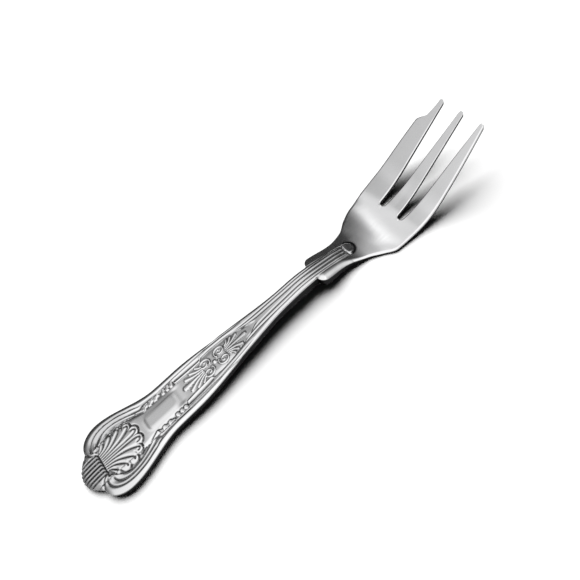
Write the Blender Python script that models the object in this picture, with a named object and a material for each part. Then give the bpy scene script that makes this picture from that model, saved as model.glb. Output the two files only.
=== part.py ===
"""Pastry fork, struck from one piece of stainless steel.

A shell and honeysuckle handle with a threaded border runs into a reeded stem, whose rounded drop lies
on a plain bowl. Two slots part the bowl into three tines, and the left one is the wide cutting tine.
Sizes are in millimetres: x runs from the handle's end to the tips, y to the cutting tine's side, and z
up from the table that the fork lies on.
"""
import math

import bmesh
import bpy
import numpy as np

MM = 0.001

# Lengths along the fork, one after the other
BUTT_LENGTH = 4.4       # fluted butt, from the end to its two notches
LOBE_LENGTH = 7.1       # notches to the widest part of the handle
FLANK_LENGTH = 19.5     # widest part to the waist
PANEL_LENGTH = 9.0      # waist to the swell
UPPER_TAPER = 20.0      # swell to the middle of the taper
LOWER_TAPER = 16.0      # middle of the taper to the slim stem
STEM_LENGTH = 12.3      # slim stem to the shoulders
NECK_LENGTH = 8.2       # shoulders to the narrowest part of the neck
DROP_LENGTH = 7.4       # narrowest part of the neck to the end of the drop
BOWL_LENGTH = 14.9      # end of the drop to the roots of the slots
TINE_LENGTH = 31.2      # roots of the slots to the tips, in plan

# Widths
BUTT_WIDTH = 13.2       # across the notches
LOBE_WIDTH = 23.2
WAIST_WIDTH = 14.9
SWELL_WIDTH = 14.5
TAPER_WIDTH = 9.5
STEM_START_WIDTH = 6.0  # where the taper ends
STEM_WIDTH = 5.6        # the slimmest part
DROP_WIDTH = 4.8
SHOULDER_WIDTH = 9.2
NECK_WIDTH = 8.6
CUTTING_SIDE = 12.45    # middle of the bowl to the cutting tine's edge
PLAIN_SIDE = 11.15      # middle of the bowl to the other outer tine's edge
CUTTING_CORNER = 1.5    # that side is this much narrower where it stops flaring
PLAIN_CORNER = 0.75     # and the other side this much
WIDE_PAST = 5.0         # the bowl is widest this far past the roots of the slots
CUTTING_TAPER = 0.85    # the cutting edge draws in by this much
NOTCH_SIDE = 9.05       # middle line to the hollow beside the cutting tine's tip
TAPER_POWER = 1.45      # of the plain outer tine's curved edge: 1 is straight
TINE_PITCH = 7.6        # from tine to tine
TIP_WIDTH = 1.4
SLOT_ROOT_WIDTH = 2.2
DROP_FLARE = 0.36       # share of a side's reach that the bowl has gained beside the drop's end
BOWL_FLARE = 0.735      # share of it that the bowl has a quarter of its length on
CORNER_PLACE = 0.55     # share of the bowl's length at which its sides stop flaring
BUTT_FULLNESS = 1.5     # power of the butt's curve: 2 is an ellipse, 1 is straight

# Heights and thicknesses
BUTT_THICKNESS = 2.1
LOBE_THICKNESS = 3.0
SWELL_THICKNESS = 2.95
STEM_THICKNESS = 3.65
SHOULDER_THICKNESS = 4.0
NECK_THICKNESS = 3.4
DROP_THICKNESS = 2.4
DROP_END = 2.3          # at the drop's round end
BOWL_START = 1.85       # the bowl's plate under the drop's end
BOWL_THICKNESS = 1.25
TIP_THICKNESS = 1.1
TAIL_FLAT = 18.0        # length of the handle that lies flat on the table
STEM_RISE = 2.7         # underside of the stem above the table
NECK_CROWN = 0.3        # sides of the bowl below its middle, past the drop
BEND_RADIUS = 38.0      # bend from the bowl to the tines
BEND_LEAD = 7.0         # start of the bend before the roots of the slots
TINE_ANGLE = 30.5       # degrees

# Edges and corners
HANDLE_EDGE = 0.6       # rounding of the handle's rim
HANDLE_BACK_EDGE = 0.5
BOWL_EDGE = 0.35
SHOULDER_ROUND = 2.2
SHOULDER_ROOT = 0.3     # the shoulders start this far inside the stem
TIP_ROUND = 0.6
TIP_DRAW = 0.48         # a tine's side draws in by this much at its tip
NOTCH_LENGTH = 3.0      # hollow between the cutting edge and its tip
NOTCH_BACK = 7.6        # start of that hollow before the tip

# Relief struck into the handle
FIELD_LOBE = 14.6       # width between the border threads at the lobes
FIELD_PANEL = 7.0       # width between them along the panel
FIELD_TAPER = 5.2       # width between them where the taper's honeysuckle ends
REED_WIDTH = 1.3        # the middle reed of the stem
REED_START = 9.0        # before the slim stem, where the threads have closed in
REED_START_WIDTH = 1.9
FIELD_SHARE = 0.68      # most of the handle's width that the field may take
FIELD_DEPTH = 0.35      # the field lies below the threads
GROOVE_DEPTH = 0.28
GROOVE_WIDTH = 0.44
REED_LIFT = 0.15        # the reeds lie this much above the neck's plate
DROP_LIFT = 0.5         # the stem's back above the shoulders' back
ORNAMENT_RISE = 0.45
ORNAMENT_SINK = 0.5     # how deep an ornament is rooted in the field

# The shell
SHELL_LOBES = 5         # on each side
SHELL_HINGE = 3.4       # from the notches to the foot of the shell
SHELL_MIDDLE = 9.1      # from the notches to the middle of the fan
SHELL_REACH = 7.8
SHELL_SIDE = 6.3
SHELL_FOOT = 5.8        # width of the foot
SHELL_SPREAD = 26.0     # degrees from lobe to lobe
LOBE_RIB_WIDTH = 2.1    # a lobe's width near its tip
LOBE_FOOT_WIDTH = 0.5

# The butt's flutes
FLUTES = 6
FLUTE_PITCH = 1.15
FLUTE_WIDTH = 0.9

# The panel's tablet
TABLET_START = 7.4      # before the waist
TABLET_LENGTH = 11.2
TABLET_WIDTH = 4.8
TABLET_RISE = 0.2
TABLET_BEVEL = 0.86     # share of the half width that is level

# The two honeysuckles and what lies between them
LEAVES = 3              # on each side of the middle leaf
HEART_GAP = 9.6         # between the hearts of the two honeysuckles
HEART_START = 5.8       # from the swell to the lower heart
LOWER_REACH = 8.0
LOWER_SIDE = 2.5
UPPER_REACH = 7.0
UPPER_SIDE = 2.0
LEAF_WIDTH = 1.1
LEAF_FOOT_WIDTH = 0.36
LEAF_FAN = 66.0         # degrees from the middle leaf to the last one
VOLUTE_RADIUS = 0.85
VOLUTE_OFFSET = 1.5     # from the middle line
VOLUTE_STEP = 1.5       # from the heart
VOLUTE_THREAD = 0.62
VOLUTE_TURN = 300.0     # degrees
DOT_WIDTH = 1.0

# Places along the fork that follow from the lengths
X_NOTCH = BUTT_LENGTH
X_LOBE = X_NOTCH + LOBE_LENGTH
X_WAIST = X_LOBE + FLANK_LENGTH
X_SWELL = X_WAIST + PANEL_LENGTH
X_TAPER = X_SWELL + UPPER_TAPER
X_STEM = X_TAPER + LOWER_TAPER
X_SHOULDER = X_STEM + STEM_LENGTH
X_NECK = X_SHOULDER + NECK_LENGTH
X_DROP = X_NECK + DROP_LENGTH
X_ROOT = X_DROP + BOWL_LENGTH
X_TIP = X_ROOT + TINE_LENGTH
X_BEND = X_ROOT - BEND_LEAD
X_REED = X_STEM - REED_START
X_CUT = X_TIP - NOTCH_BACK
X_WIDE = X_ROOT + WIDE_PAST
TIP_SIDE = TINE_PITCH + TIP_WIDTH / 2


def smooth_run(points):
    """A curve through (place, value) points that never overshoots them and is level past both ends."""
    place, value = np.array(points, float).T
    step = np.diff(place)
    rise = np.diff(value) / step
    slope = np.zeros(len(place))
    product = rise[:-1] * rise[1:]
    total = np.where(product > 0, rise[:-1] + rise[1:], 1.0)
    slope[1:-1] = np.where(product > 0, 2 * product / total, 0.0)

    def at(x):
        x = np.clip(np.asarray(x, float), place[0], place[-1])
        i = np.clip(np.searchsorted(place, x) - 1, 0, len(step) - 1)
        s = (x - place[i]) / step[i]
        start = value[i] * (1 + 2 * s) + slope[i] * step[i] * s
        end = value[i + 1] * (3 - 2 * s) + slope[i + 1] * step[i] * (s - 1)
        return start * (1 - s) ** 2 + end * s ** 2

    return at


def underside(x):
    """Height of the fork's back above the table: flat tail, raised stem, bowl on the table, tines up."""
    along = smooth_run([
        (TAIL_FLAT, 0.0),
        (X_STEM + STEM_LENGTH / 3, STEM_RISE),
        (X_DROP + 2 * BOWL_EDGE, 0.0),
    ])
    angle = math.radians(TINE_ANGLE)
    past = np.maximum(np.asarray(x, float) - X_BEND, 0.0)
    bent = np.minimum(past, BEND_RADIUS * math.sin(angle))
    arc = BEND_RADIUS - np.sqrt(BEND_RADIUS ** 2 - bent ** 2)
    return along(x) + arc + (past - bent) * math.tan(angle)


handle_taper = smooth_run([
    (X_LOBE, LOBE_WIDTH / 2),
    (X_WAIST, WAIST_WIDTH / 2),
    (X_SWELL, SWELL_WIDTH / 2),
    (X_TAPER, TAPER_WIDTH / 2),
    (X_STEM, STEM_START_WIDTH / 2),
    (X_SHOULDER - STEM_LENGTH / 3, STEM_WIDTH / 2),
    (X_NECK, DROP_WIDTH / 2),
])
handle_thickness = smooth_run([
    (0.0, BUTT_THICKNESS),
    (X_NOTCH / 2, (BUTT_THICKNESS + LOBE_THICKNESS) / 2),
    (X_LOBE, LOBE_THICKNESS),
    (X_SWELL, SWELL_THICKNESS),
    (X_STEM, STEM_THICKNESS),
    (X_SHOULDER, SHOULDER_THICKNESS + REED_LIFT),
    (X_NECK, NECK_THICKNESS + REED_LIFT),
    (X_DROP - DROP_WIDTH / 2, DROP_THICKNESS + REED_LIFT),
    (X_DROP, DROP_END),
])
field_width = smooth_run([
    (X_LOBE, FIELD_LOBE / 2),
    (X_WAIST, FIELD_PANEL / 2),
    (X_SWELL, FIELD_PANEL / 2),
    (X_TAPER, FIELD_TAPER / 2),
    (X_REED, REED_START_WIDTH / 2),
    (X_STEM, REED_WIDTH / 2),
])
field_depth = smooth_run([(X_TAPER, FIELD_DEPTH), (X_REED, 0.0)])
thread_strength = smooth_run([
    (X_NOTCH, 0.0),
    (X_NOTCH + LOBE_LENGTH / 2, 1.0),
    (X_DROP - DROP_WIDTH / 2, 1.0),
    (X_DROP - DROP_WIDTH / 4, 0.0),
])
stem_lift = smooth_run([(X_SHOULDER - STEM_LENGTH / 3, 0.0), (X_NECK, DROP_LIFT)])


def handle_half_width(x):
    """Half the handle's outline: a full butt, elliptical lobes, a long taper and the drop's round end."""
    if x < X_NOTCH:
        back = (X_NOTCH - x) / BUTT_LENGTH
        return BUTT_WIDTH / 2 * (1 - back ** BUTT_FULLNESS) ** (1 / BUTT_FULLNESS)
    if x < X_LOBE:
        back = (X_LOBE - x) / LOBE_LENGTH
        return BUTT_WIDTH / 2 + (LOBE_WIDTH - BUTT_WIDTH) / 2 * math.sqrt(1 - back ** 2)
    radius = DROP_WIDTH / 2
    past = max(x - (X_DROP - radius), 0.0) / radius
    return float(handle_taper(x)) * math.sqrt(max(1 - past ** 2, 0.0))


def field_height(x):
    """Height of the struck field above the table, on which the ornaments are rooted."""
    return float(underside(x) + handle_thickness(x) - field_depth(x) * thread_strength(x))


def handle_section(x):
    """One loop round the handle at x: rim, two border threads, field, and a back with rounded edges."""
    half = handle_half_width(x)
    back = float(underside(x) + stem_lift(x))
    top = float(underside(x) + handle_thickness(x))
    strength = float(thread_strength(x))
    edge = min(HANDLE_EDGE, 0.3 * half)
    back_edge = min(HANDLE_BACK_EDGE, 0.3 * half, 0.4 * (top - back))
    field = min(float(field_width(x)), FIELD_SHARE * half)
    border = half - edge - field
    groove = min(GROOVE_WIDTH / 2, border / 6)
    middle = field + border / 2
    low = top - GROOVE_DEPTH * strength
    floor = field_height(x)
    side = []
    for angle in (0, 30, 60):
        turn = math.radians(angle)
        side.append((half - back_edge * (1 - math.sin(turn)), back + back_edge * (1 - math.cos(turn))))
    for angle in (0, 30, 60, 90):
        turn = math.radians(angle)
        side.append((half - edge * (1 - math.cos(turn)), top - edge * (1 - math.sin(turn))))
    side += [
        (middle + groove, top),
        (middle, low),
        (middle - groove, top),
        (field + groove, top),
        (field, min(low, floor)),
        (field - groove, floor),
        (0.45 * field, floor),
    ]
    mirrored = [(-y, z) for y, z in reversed(side)]
    return [(x, y, z) for y, z in side + [(0.0, floor)] + mirrored]


def tip_rounding(x):
    """How far a tine's side has drawn in at x, along the quarter ellipse at its tip."""
    past = min(max(x - (X_TIP - TIP_ROUND), 0.0) / TIP_ROUND, 1.0)
    return TIP_DRAW * (1 - math.sqrt(1 - past ** 2))


def bowl_side(x, reach, corner):
    """Distance from the middle line to the bowl's edge, from the shoulders to its widest part."""
    lead = (x - X_SHOULDER) / SHOULDER_ROUND
    if lead < 1.0:
        start = STEM_WIDTH / 2 - SHOULDER_ROOT
        return start + (SHOULDER_WIDTH / 2 - start) * math.sqrt(1 - (1 - lead) ** 2)
    flare = smooth_run([
        (X_SHOULDER + SHOULDER_ROUND, SHOULDER_WIDTH / 2),
        (X_NECK, NECK_WIDTH / 2),
        (X_DROP, NECK_WIDTH / 4 + DROP_FLARE * reach),
        (X_DROP + BOWL_LENGTH / 4, BOWL_FLARE * reach),
        (X_DROP + CORNER_PLACE * BOWL_LENGTH, reach - corner),
        (X_WIDE, reach),
    ])
    return float(flare(x))


def cutting_side(x):
    """The cutting tine's outer edge: nearly straight, then a hollow, then the slim tip."""
    if x < X_WIDE:
        return bowl_side(x, CUTTING_SIDE, CUTTING_CORNER)
    edge = smooth_run([
        (X_WIDE, CUTTING_SIDE),
        (X_CUT, CUTTING_SIDE - CUTTING_TAPER),
        (X_CUT + NOTCH_LENGTH, NOTCH_SIDE),
        (X_TIP, TIP_SIDE),
    ])
    return float(edge(x)) - tip_rounding(x)


def plain_side(x):
    """The other outer tine's edge, one curve from the bowl to the tip."""
    past = max((x - X_WIDE) / (X_TIP - X_WIDE), 0.0)
    drawn = (PLAIN_SIDE - TIP_SIDE) * past ** TAPER_POWER + tip_rounding(x)
    return bowl_side(x, PLAIN_SIDE, PLAIN_CORNER) - drawn


head_thickness = smooth_run([
    (X_SHOULDER, SHOULDER_THICKNESS),
    (X_NECK, NECK_THICKNESS),
    (X_DROP - DROP_LENGTH / 2, DROP_THICKNESS),
    (X_DROP, BOWL_START),
    (X_DROP + BOWL_LENGTH / 2, BOWL_THICKNESS),
    (X_ROOT + TINE_LENGTH / 3, BOWL_THICKNESS),
    (X_TIP, TIP_THICKNESS),
])
head_crown = smooth_run([(X_NECK, 0.0), (X_DROP + BOWL_LENGTH / 5, NECK_CROWN), (X_BEND, 0.0)])


def head_section(x):
    """One loop round the shoulders, bowl or tines at x: a crowned top, a flat back and rounded edges."""
    left = cutting_side(x)
    right = plain_side(x)
    back = float(underside(x))
    top = back + float(head_thickness(x))
    edge = min(BOWL_EDGE, 0.3 * (top - back))
    crown = float(head_crown(x))
    side_top = top - crown
    level = []
    for share in (-1.0, -0.75, -0.5, -0.25, 0.0, 0.25, 0.5, 0.75, 1.0):
        reach = (left if share > 0 else right) - edge
        level.append((share * reach, crown * share ** 2))
    upper = [(y, top - drop) for y, drop in level]
    lower = [(y, back) for y, _ in reversed(level)]
    bulge = math.sqrt(0.5) * edge
    left_rim = [(left - edge + bulge, side_top - edge + bulge), (left, side_top - edge)]
    left_rim += [(left, back + edge), (left - edge + bulge, back + edge - bulge)]
    right_rim = [(-right + edge - bulge, back + edge - bulge), (-right, back + edge)]
    right_rim += [(-right, side_top - edge), (-right + edge - bulge, side_top - edge + bulge)]
    return [(x, y, z) for y, z in upper + left_rim + lower + right_rim]


def spread(start, end, count):
    """Even places from start up to, and without, end."""
    return list(np.linspace(start, end, count, endpoint=False))


def eased(start, end, count):
    """Places from start up to, and without, end that crowd together at the start."""
    return [start + (end - start) * (1 - math.cos(turn)) for turn in spread(0.0, math.pi / 2, count)]


def crowded_end(start, end, count):
    """Places after start up to end that crowd together at the end."""
    return [start + (end - start) * math.sin(turn) for turn in np.linspace(0, math.pi / 2, count + 1)[1:]]


def add_loft(bm, sections):
    """Join equal loops of points in a row by quads, and close both ends."""
    rows = [[bm.verts.new(point) for point in section] for section in sections]
    for near, far in zip(rows, rows[1:]):
        for i in range(len(near)):
            j = (i + 1) % len(near)
            bm.faces.new((near[i], near[j], far[j], far[i]))
    bm.faces.new(rows[0])
    bm.faces.new(list(reversed(rows[-1])))


def add_ridge(bm, path, half_widths, rises, level_share=0.6, level_rise=0.8):
    """A raised rib along a path on the field: a five-sided arch, rooted below the field."""
    path = np.asarray(path, float)
    along = np.gradient(path, axis=0)
    along /= np.linalg.norm(along, axis=1)[:, None]
    across = np.stack([-along[:, 1], along[:, 0]], axis=1)
    sections = []
    for point, normal, half, rise in zip(path, across, half_widths, rises):
        section = []
        for share, lift in ((-1, 0), (-level_share, level_rise), (0, 1), (level_share, level_rise), (1, 0)):
            x, y = point + normal * half * share
            z = field_height(x) + (rise * lift if lift else -ORNAMENT_SINK)
            section.append((x, y, z))
        sections.append(section)
    add_loft(bm, sections)


def bent_path(start, control, end, count):
    """A quadratic curve from start to end, drawn towards control."""
    s = np.linspace(0.0, 1.0, count)[:, None]
    points = [np.array(point, float) for point in (start, control, end)]
    return points[0] * (1 - s) ** 2 + points[1] * 2 * s * (1 - s) + points[2] * s ** 2


def add_leaf(bm, start, control, end, foot_width, width, rows=7):
    """A rib that widens from its foot and ends in a round tip."""
    s = np.linspace(0.0, 1.0, rows)
    round_tip = np.sqrt(np.clip(1 - ((s - 0.8) / 0.21).clip(0) ** 2, 0.05, 1))
    half = (foot_width + (width - foot_width) * s ** 1.2) / 2 * round_tip
    rise = ORNAMENT_RISE * (0.6 + 0.4 * s) * (0.35 + 0.65 * round_tip)
    add_ridge(bm, bent_path(start, control, end, rows), half, rise)


def add_shell(bm):
    """Ten lobes that fan out from the shell's foot to an elliptical rim."""
    foot_x = X_NOTCH + SHELL_HINGE
    middle_x = X_NOTCH + SHELL_MIDDLE
    for side in (1, -1):
        for lobe in range(SHELL_LOBES):
            turn = math.radians(SHELL_SPREAD * (lobe + 0.4))
            foot_y = side * SHELL_FOOT / 2 * (lobe + 0.5) / SHELL_LOBES
            tip = (middle_x + SHELL_REACH * math.cos(turn), side * SHELL_SIDE * math.sin(turn))
            bend = (foot_x + 0.62 * (tip[0] - foot_x), 1.1 * foot_y + 0.12 * (tip[1] - foot_y))
            add_leaf(bm, (foot_x, foot_y), bend, tip, LOBE_FOOT_WIDTH, LOBE_RIB_WIDTH)


def add_flutes(bm):
    """Parallel ribs over the butt, from its curved end to the shell's foot."""
    for flute in range(FLUTES):
        y = (flute - (FLUTES - 1) / 2) * FLUTE_PITCH
        inside = 1 - (abs(y) * 2 / BUTT_WIDTH) ** BUTT_FULLNESS
        start = X_NOTCH - BUTT_LENGTH * inside ** (1 / BUTT_FULLNESS) + 2 * HANDLE_EDGE
        end = X_NOTCH + SHELL_HINGE - FLUTE_WIDTH / 2
        half = np.array([0.5, 1.0, 1.0, 1.0, 0.6]) * FLUTE_WIDTH / 2
        rise = np.array([0.4, 0.8, 1.0, 1.0, 0.5]) * ORNAMENT_RISE
        add_ridge(bm, np.stack([np.linspace(start, end, 5), np.full(5, y)], axis=1), half, rise)


def add_tablet(bm):
    """The plain tablet in the panel, a low plate with bevelled edges."""
    start = X_WAIST - TABLET_START
    bevel = TABLET_WIDTH / 2 * (1 - TABLET_BEVEL)
    x = np.array([start, start + bevel, start + TABLET_LENGTH - bevel, start + TABLET_LENGTH])
    half = np.array([TABLET_BEVEL, 1.0, 1.0, TABLET_BEVEL]) * TABLET_WIDTH / 2
    rise = np.array([0.05, 1.0, 1.0, 0.05]) * TABLET_RISE
    add_ridge(bm, np.stack([x, np.zeros(4)], axis=1), half, rise, TABLET_BEVEL, 1.0)


def add_honeysuckle(bm, heart, reach, side_reach, way):
    """A middle leaf with a fan of side leaves, and a pair of volutes behind its heart."""
    for leaf in range(-LEAVES, LEAVES + 1):
        turn = math.radians(LEAF_FAN * leaf / LEAVES)
        tip = (heart + way * reach * math.cos(turn), side_reach * math.sin(turn))
        foot = (heart + way * VOLUTE_RADIUS, LEAF_FOOT_WIDTH * 1.25 * leaf)
        bend = (foot[0] + 0.5 * (tip[0] - foot[0]), foot[1] + 0.2 * (tip[1] - foot[1]))
        add_leaf(bm, foot, bend, tip, LEAF_FOOT_WIDTH, LEAF_WIDTH)
    for side in (1, -1):
        turn = np.radians(np.linspace(0.0, VOLUTE_TURN, 11))
        x = heart - way * (VOLUTE_STEP + VOLUTE_RADIUS * np.cos(turn))
        y = side * (VOLUTE_OFFSET - VOLUTE_RADIUS * np.sin(turn))
        half = np.linspace(1.0, 0.7, len(turn)) * VOLUTE_THREAD / 2
        rise = np.linspace(0.8, 1.0, len(turn)) * ORNAMENT_RISE
        add_ridge(bm, np.stack([x, y], axis=1), half, rise)


def add_dot(bm, x):
    """The round bead between the honeysuckles."""
    turn = np.linspace(-0.45 * math.pi, 0.45 * math.pi, 5)
    path = np.stack([x + DOT_WIDTH / 2 * np.sin(turn), np.zeros(5)], axis=1)
    add_ridge(bm, path, DOT_WIDTH / 2 * np.cos(turn), ORNAMENT_RISE * np.cos(turn))


def add_slots(bm):
    """Two wedge punches with round roots, which also round the inner corners of the tips."""
    root = SLOT_ROOT_WIDTH / 2
    growth = ((TINE_PITCH - TIP_WIDTH) / 2 - root) / (TINE_LENGTH - root)
    middle = X_ROOT + root
    turns = spread(0.0, math.pi / 2, 6)
    outline = [(middle - root * math.cos(turn), root * math.sin(turn)) for turn in turns]
    for x in [middle] + list(np.linspace(X_TIP - TIP_ROUND, X_TIP, 5)):
        outline.append((x, root + growth * (x - middle) + tip_rounding(x)))
    outline.append((X_TIP + TIP_ROUND, outline[-1][1]))
    loop = outline + [(x, -y) for x, y in reversed(outline[1:])]
    tall = float(underside(X_TIP)) + 4 * BOWL_THICKNESS
    for side in (1, -1):
        middle_y = side * TINE_PITCH / 2
        add_loft(bm, [[(x, middle_y + y, z) for x, y in loop] for z in (-BOWL_THICKNESS, tall)])


def steel():
    """Polished stainless steel."""
    material = bpy.data.materials.new("stainless_steel")
    material.use_nodes = True
    shader = material.node_tree.nodes["Principled BSDF"]
    shader.inputs["Base Color"].default_value = (0.62, 0.62, 0.63, 1.0)
    shader.inputs["Metallic"].default_value = 1.0
    shader.inputs["Roughness"].default_value = 0.22
    return material


def new_object(name, fill, helper):
    """A mesh object in metres, centred along the fork, filled by a function that takes a bmesh."""
    bm = bmesh.new()
    fill(bm)
    for vert in bm.verts:
        vert.co.x -= X_TIP / 2
        vert.co *= MM
    bmesh.ops.recalc_face_normals(bm, faces=bm.faces)
    mesh = bpy.data.meshes.new(name)
    bm.to_mesh(mesh)
    bm.free()
    mesh.shade_smooth()
    mesh.set_sharp_from_angle(angle=math.radians(40))
    obj = bpy.data.objects.new(name, mesh)
    bpy.context.scene.collection.objects.link(obj)
    obj.hide_render = helper
    if helper:
        obj.display_type = "WIRE"
    return obj


def join(body, tool, operation):
    """Add a tool to the body, or cut it away."""
    modifier = body.modifiers.new(tool.name, "BOOLEAN")
    modifier.operation = operation
    modifier.solver = "EXACT"
    modifier.use_self = operation == "UNION"
    modifier.object = tool


def fill_handle(bm):
    places = eased(BUTT_LENGTH / 60, X_NOTCH, 7) + eased(X_NOTCH, X_LOBE, 8) + spread(X_LOBE, X_SWELL, 12)
    places += spread(X_SWELL, X_STEM, 14) + spread(X_STEM, X_DROP - DROP_WIDTH / 2, 10)
    places += [X_DROP - DROP_WIDTH / 2] + crowded_end(X_DROP - DROP_WIDTH / 2, X_DROP - DROP_WIDTH / 80, 6)
    add_loft(bm, [handle_section(x) for x in places])


def fill_head(bm):
    start = X_SHOULDER + SHOULDER_ROUND / 80
    places = eased(start, X_SHOULDER + SHOULDER_ROUND, 5) + spread(X_SHOULDER + SHOULDER_ROUND, X_DROP, 6)
    places += spread(X_DROP, X_BEND, 6) + spread(X_BEND, X_CUT, 10)
    places += spread(X_CUT, X_CUT + NOTCH_LENGTH, 6) + spread(X_CUT + NOTCH_LENGTH, X_TIP - TIP_ROUND, 3)
    places += [X_TIP - TIP_ROUND] + crowded_end(X_TIP - TIP_ROUND, X_TIP, 4)
    add_loft(bm, [head_section(x) for x in places])


def fill_ornament(bm):
    lower_heart = X_SWELL + HEART_START
    upper_heart = lower_heart + HEART_GAP
    add_flutes(bm)
    add_shell(bm)
    add_tablet(bm)
    add_honeysuckle(bm, lower_heart, LOWER_REACH, LOWER_SIDE, -1)
    add_honeysuckle(bm, upper_heart, UPPER_REACH, UPPER_SIDE, 1)
    add_dot(bm, (lower_heart + upper_heart) / 2)


def main():
    for old in list(bpy.data.objects):
        bpy.data.objects.remove(old, do_unlink=True)
    fork = new_object("fork", fill_handle, False)
    fork.data.materials.append(steel())
    join(fork, new_object("head_plate", fill_head, True), "UNION")
    join(fork, new_object("slot_punches", add_slots, True), "DIFFERENCE")
    join(fork, new_object("ornament", fill_ornament, True), "UNION")


main()
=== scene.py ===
"""Looks of the pastry fork: its struck and polished steel, a white table, soft studio light and a camera.

Lengths are in millimetres, as in the part's source: x runs from the handle's end to the tips, y to the
cutting tine's side, and z up from the table. The finished mesh is in metres, centred along the fork.
"""
import math

import bpy
import numpy as np
from mathutils import Matrix, Vector


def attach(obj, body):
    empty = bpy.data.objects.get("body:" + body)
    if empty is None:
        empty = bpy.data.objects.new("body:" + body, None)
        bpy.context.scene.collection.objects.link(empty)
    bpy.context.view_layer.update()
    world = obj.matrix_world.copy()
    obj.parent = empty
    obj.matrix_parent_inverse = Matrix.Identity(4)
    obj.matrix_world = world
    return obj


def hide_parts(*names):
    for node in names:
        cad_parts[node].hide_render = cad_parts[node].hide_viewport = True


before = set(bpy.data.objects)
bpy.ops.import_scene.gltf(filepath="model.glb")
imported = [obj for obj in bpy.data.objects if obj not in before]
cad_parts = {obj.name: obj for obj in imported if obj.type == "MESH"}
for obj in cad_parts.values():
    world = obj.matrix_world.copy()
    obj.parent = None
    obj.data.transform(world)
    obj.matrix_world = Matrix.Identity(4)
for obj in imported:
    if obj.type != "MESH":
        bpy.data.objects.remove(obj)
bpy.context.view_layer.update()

MM = 0.001

# Lengths along the fork, one after the other
BUTT_LENGTH = 4.4
LOBE_LENGTH = 7.1
FLANK_LENGTH = 19.5
PANEL_LENGTH = 9.0
UPPER_TAPER = 20.0
LOWER_TAPER = 16.0
STEM_LENGTH = 12.3
NECK_LENGTH = 8.2
DROP_LENGTH = 7.4
BOWL_LENGTH = 14.9
TINE_LENGTH = 31.2

# Widths
BUTT_WIDTH = 13.2
LOBE_WIDTH = 23.2
WAIST_WIDTH = 14.9
SWELL_WIDTH = 14.5
TAPER_WIDTH = 9.5
STEM_START_WIDTH = 6.0
STEM_WIDTH = 5.6
DROP_WIDTH = 4.8
SHOULDER_WIDTH = 9.6
NECK_WIDTH = 9.0
CUTTING_SIDE = 12.45
PLAIN_SIDE = 11.15
CUTTING_CORNER = 1.25
PLAIN_CORNER = 0.4
CUTTING_TAPER = 0.85
NOTCH_SIDE = 9.05
TAPER_POWER = 1.45
TINE_PITCH = 7.6
TIP_WIDTH = 1.4
SLOT_ROOT_WIDTH = 2.2
WIDE_PAST = 5.0         # the bowl is widest this far past the roots of the slots
DROP_FLARE = 0.355      # beside the drop's end a side has this share of its reach and NECK_WIDTH / 4
BOWL_FLARE = 0.74       # and a quarter of the bowl's length on it has this share
CORNER_PLACE = 0.55     # share of the bowl's length at which its corners start
BUTT_END = 2.3          # half the width of the butt's blunt end
BUTT_ROUND = 1.2        # how far the blunt end's corners are rounded along the fork

# Heights and thicknesses
BUTT_THICKNESS = 2.1
LOBE_THICKNESS = 3.0
LOBE_FULLER = 0.2       # the lobes' top is this much higher
SWELL_THICKNESS = 3.3
STEM_THICKNESS = 3.65
DROP_THICKNESS = 2.7
DROP_END = 2.6          # at the drop's round end
SHOULDER_THICKNESS = 4.1
NECK_THICKNESS = 3.4
REED_LIFT = 0.25        # the reeds lie this much above the neck's plate
BOWL_THICKNESS = 1.25
TIP_THICKNESS = 1.1
TINE_DEEPER = 0.35      # the tines reach this much lower at the back
TAIL_FLAT = 18.0
STEM_RISE = 2.7
NECK_TILT = 0.15        # slope of the neck's plate on the cutting side
ROOT_TILT = 0.018       # slope of the tines' roots, which rise to the cutting side
BEND_RADIUS = 38.0
BEND_LEAD = 7.0
TINE_ANGLE = 30.5       # degrees
TROUGH_START = 0.4      # the trough along each half of the handle starts at this share of the half width
TROUGH_SHARE = 0.46     # and takes up this share of it

# Edges and corners
BACK_EDGE = 0.5
HEAD_EDGE = 0.35
TINE_EDGE = 0.06
RIM_EDGE = 0.18
SHOULDER_ROUND = 2.2
SHOULDER_ROOT = 0.3
TIP_ROUND = 0.6
TIP_DRAW = 0.48
NOTCH_LENGTH = 3.0
NOTCH_BACK = 7.6

# Places along the fork, most of which follow from the lengths
X_START = BUTT_LENGTH / 60
X_NOTCH = BUTT_LENGTH
X_LOBE = X_NOTCH + LOBE_LENGTH
X_WAIST = X_LOBE + FLANK_LENGTH
X_SWELL = X_WAIST + PANEL_LENGTH
X_TAPER = X_SWELL + UPPER_TAPER
X_STEM = X_TAPER + LOWER_TAPER
X_SHOULDER = X_STEM + STEM_LENGTH
X_NECK = X_SHOULDER + NECK_LENGTH
X_DROP = X_NECK + DROP_LENGTH
X_ROOT = X_DROP + BOWL_LENGTH
X_TIP = X_ROOT + TINE_LENGTH
X_BEND = X_ROOT - BEND_LEAD
X_CUT = X_TIP - NOTCH_BACK
X_WIDE = X_ROOT + WIDE_PAST
X_RELIEF_END = 66.0     # the ornament's fine grid ends here
X_CAP = 100.6           # the reeds end here, and the drop's smooth cap starts
X_HEAD = 106.5          # the fine grid ends here, and the plain head starts
TIP_SIDE = TINE_PITCH + TIP_WIDTH / 2

# The grid
FINE_COLUMNS = 42       # in each of the three bands across the handle
HEAD_COLUMNS = 14       # in each of the three bands across the head
BACK_COLUMNS = 6
WALL_SHARES = np.array([0.0, 0.1, 0.5, 0.9, 1.0])    # rows down a wall
SHARP_ANGLE = 50.0      # degrees between faces that meet in a sharp edge
EDGE_CROWDING = 1.15    # columns crowd to the rim by this power

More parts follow.
